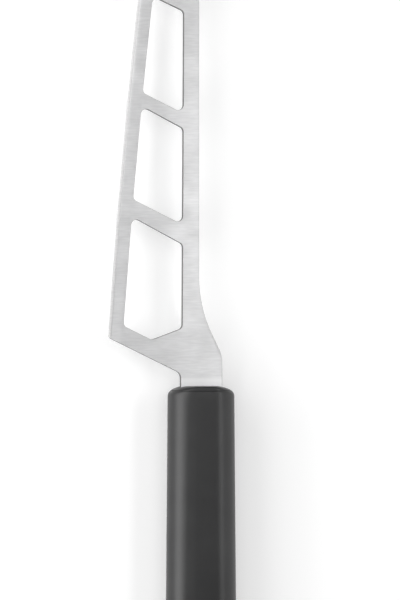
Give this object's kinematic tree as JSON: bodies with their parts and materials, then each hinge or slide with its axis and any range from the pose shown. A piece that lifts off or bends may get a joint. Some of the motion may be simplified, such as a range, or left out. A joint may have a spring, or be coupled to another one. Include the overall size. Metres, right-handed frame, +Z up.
{
  "type": "cheese knife",
  "caption": "Soft-cheese knife: openwork steel blade with slanted ribs and a forked tip, on an oval plastic handle with a hanging eye.",
  "frame": {"origin": "middle of the knife's box, at the surface that the handle lies on", "axes": "+Y from the handle to the tip, -X the side of the cutting edge, +Z up, square to the blade's flat face"},
  "size_m": [0.0408, 0.269, 0.016],
  "materials": {
    "steel": "stainless sheet, brushed across the blade, with a ground and honed edge",
    "grip": "dark grey moulded plastic with a fine matte grain",
    "core": "mid grey moulded plastic, plain",
    "pin_steel": "plain turned steel"
  },
  "bodies": {
    "root": {"blade": "steel", "front_collar": "grip", "core_upper": "core", "core_lower": "core", "tang_pins": "pin_steel", "grip_sleeve": "grip", "end_cap": "grip"}
  },
  "joints": []
}
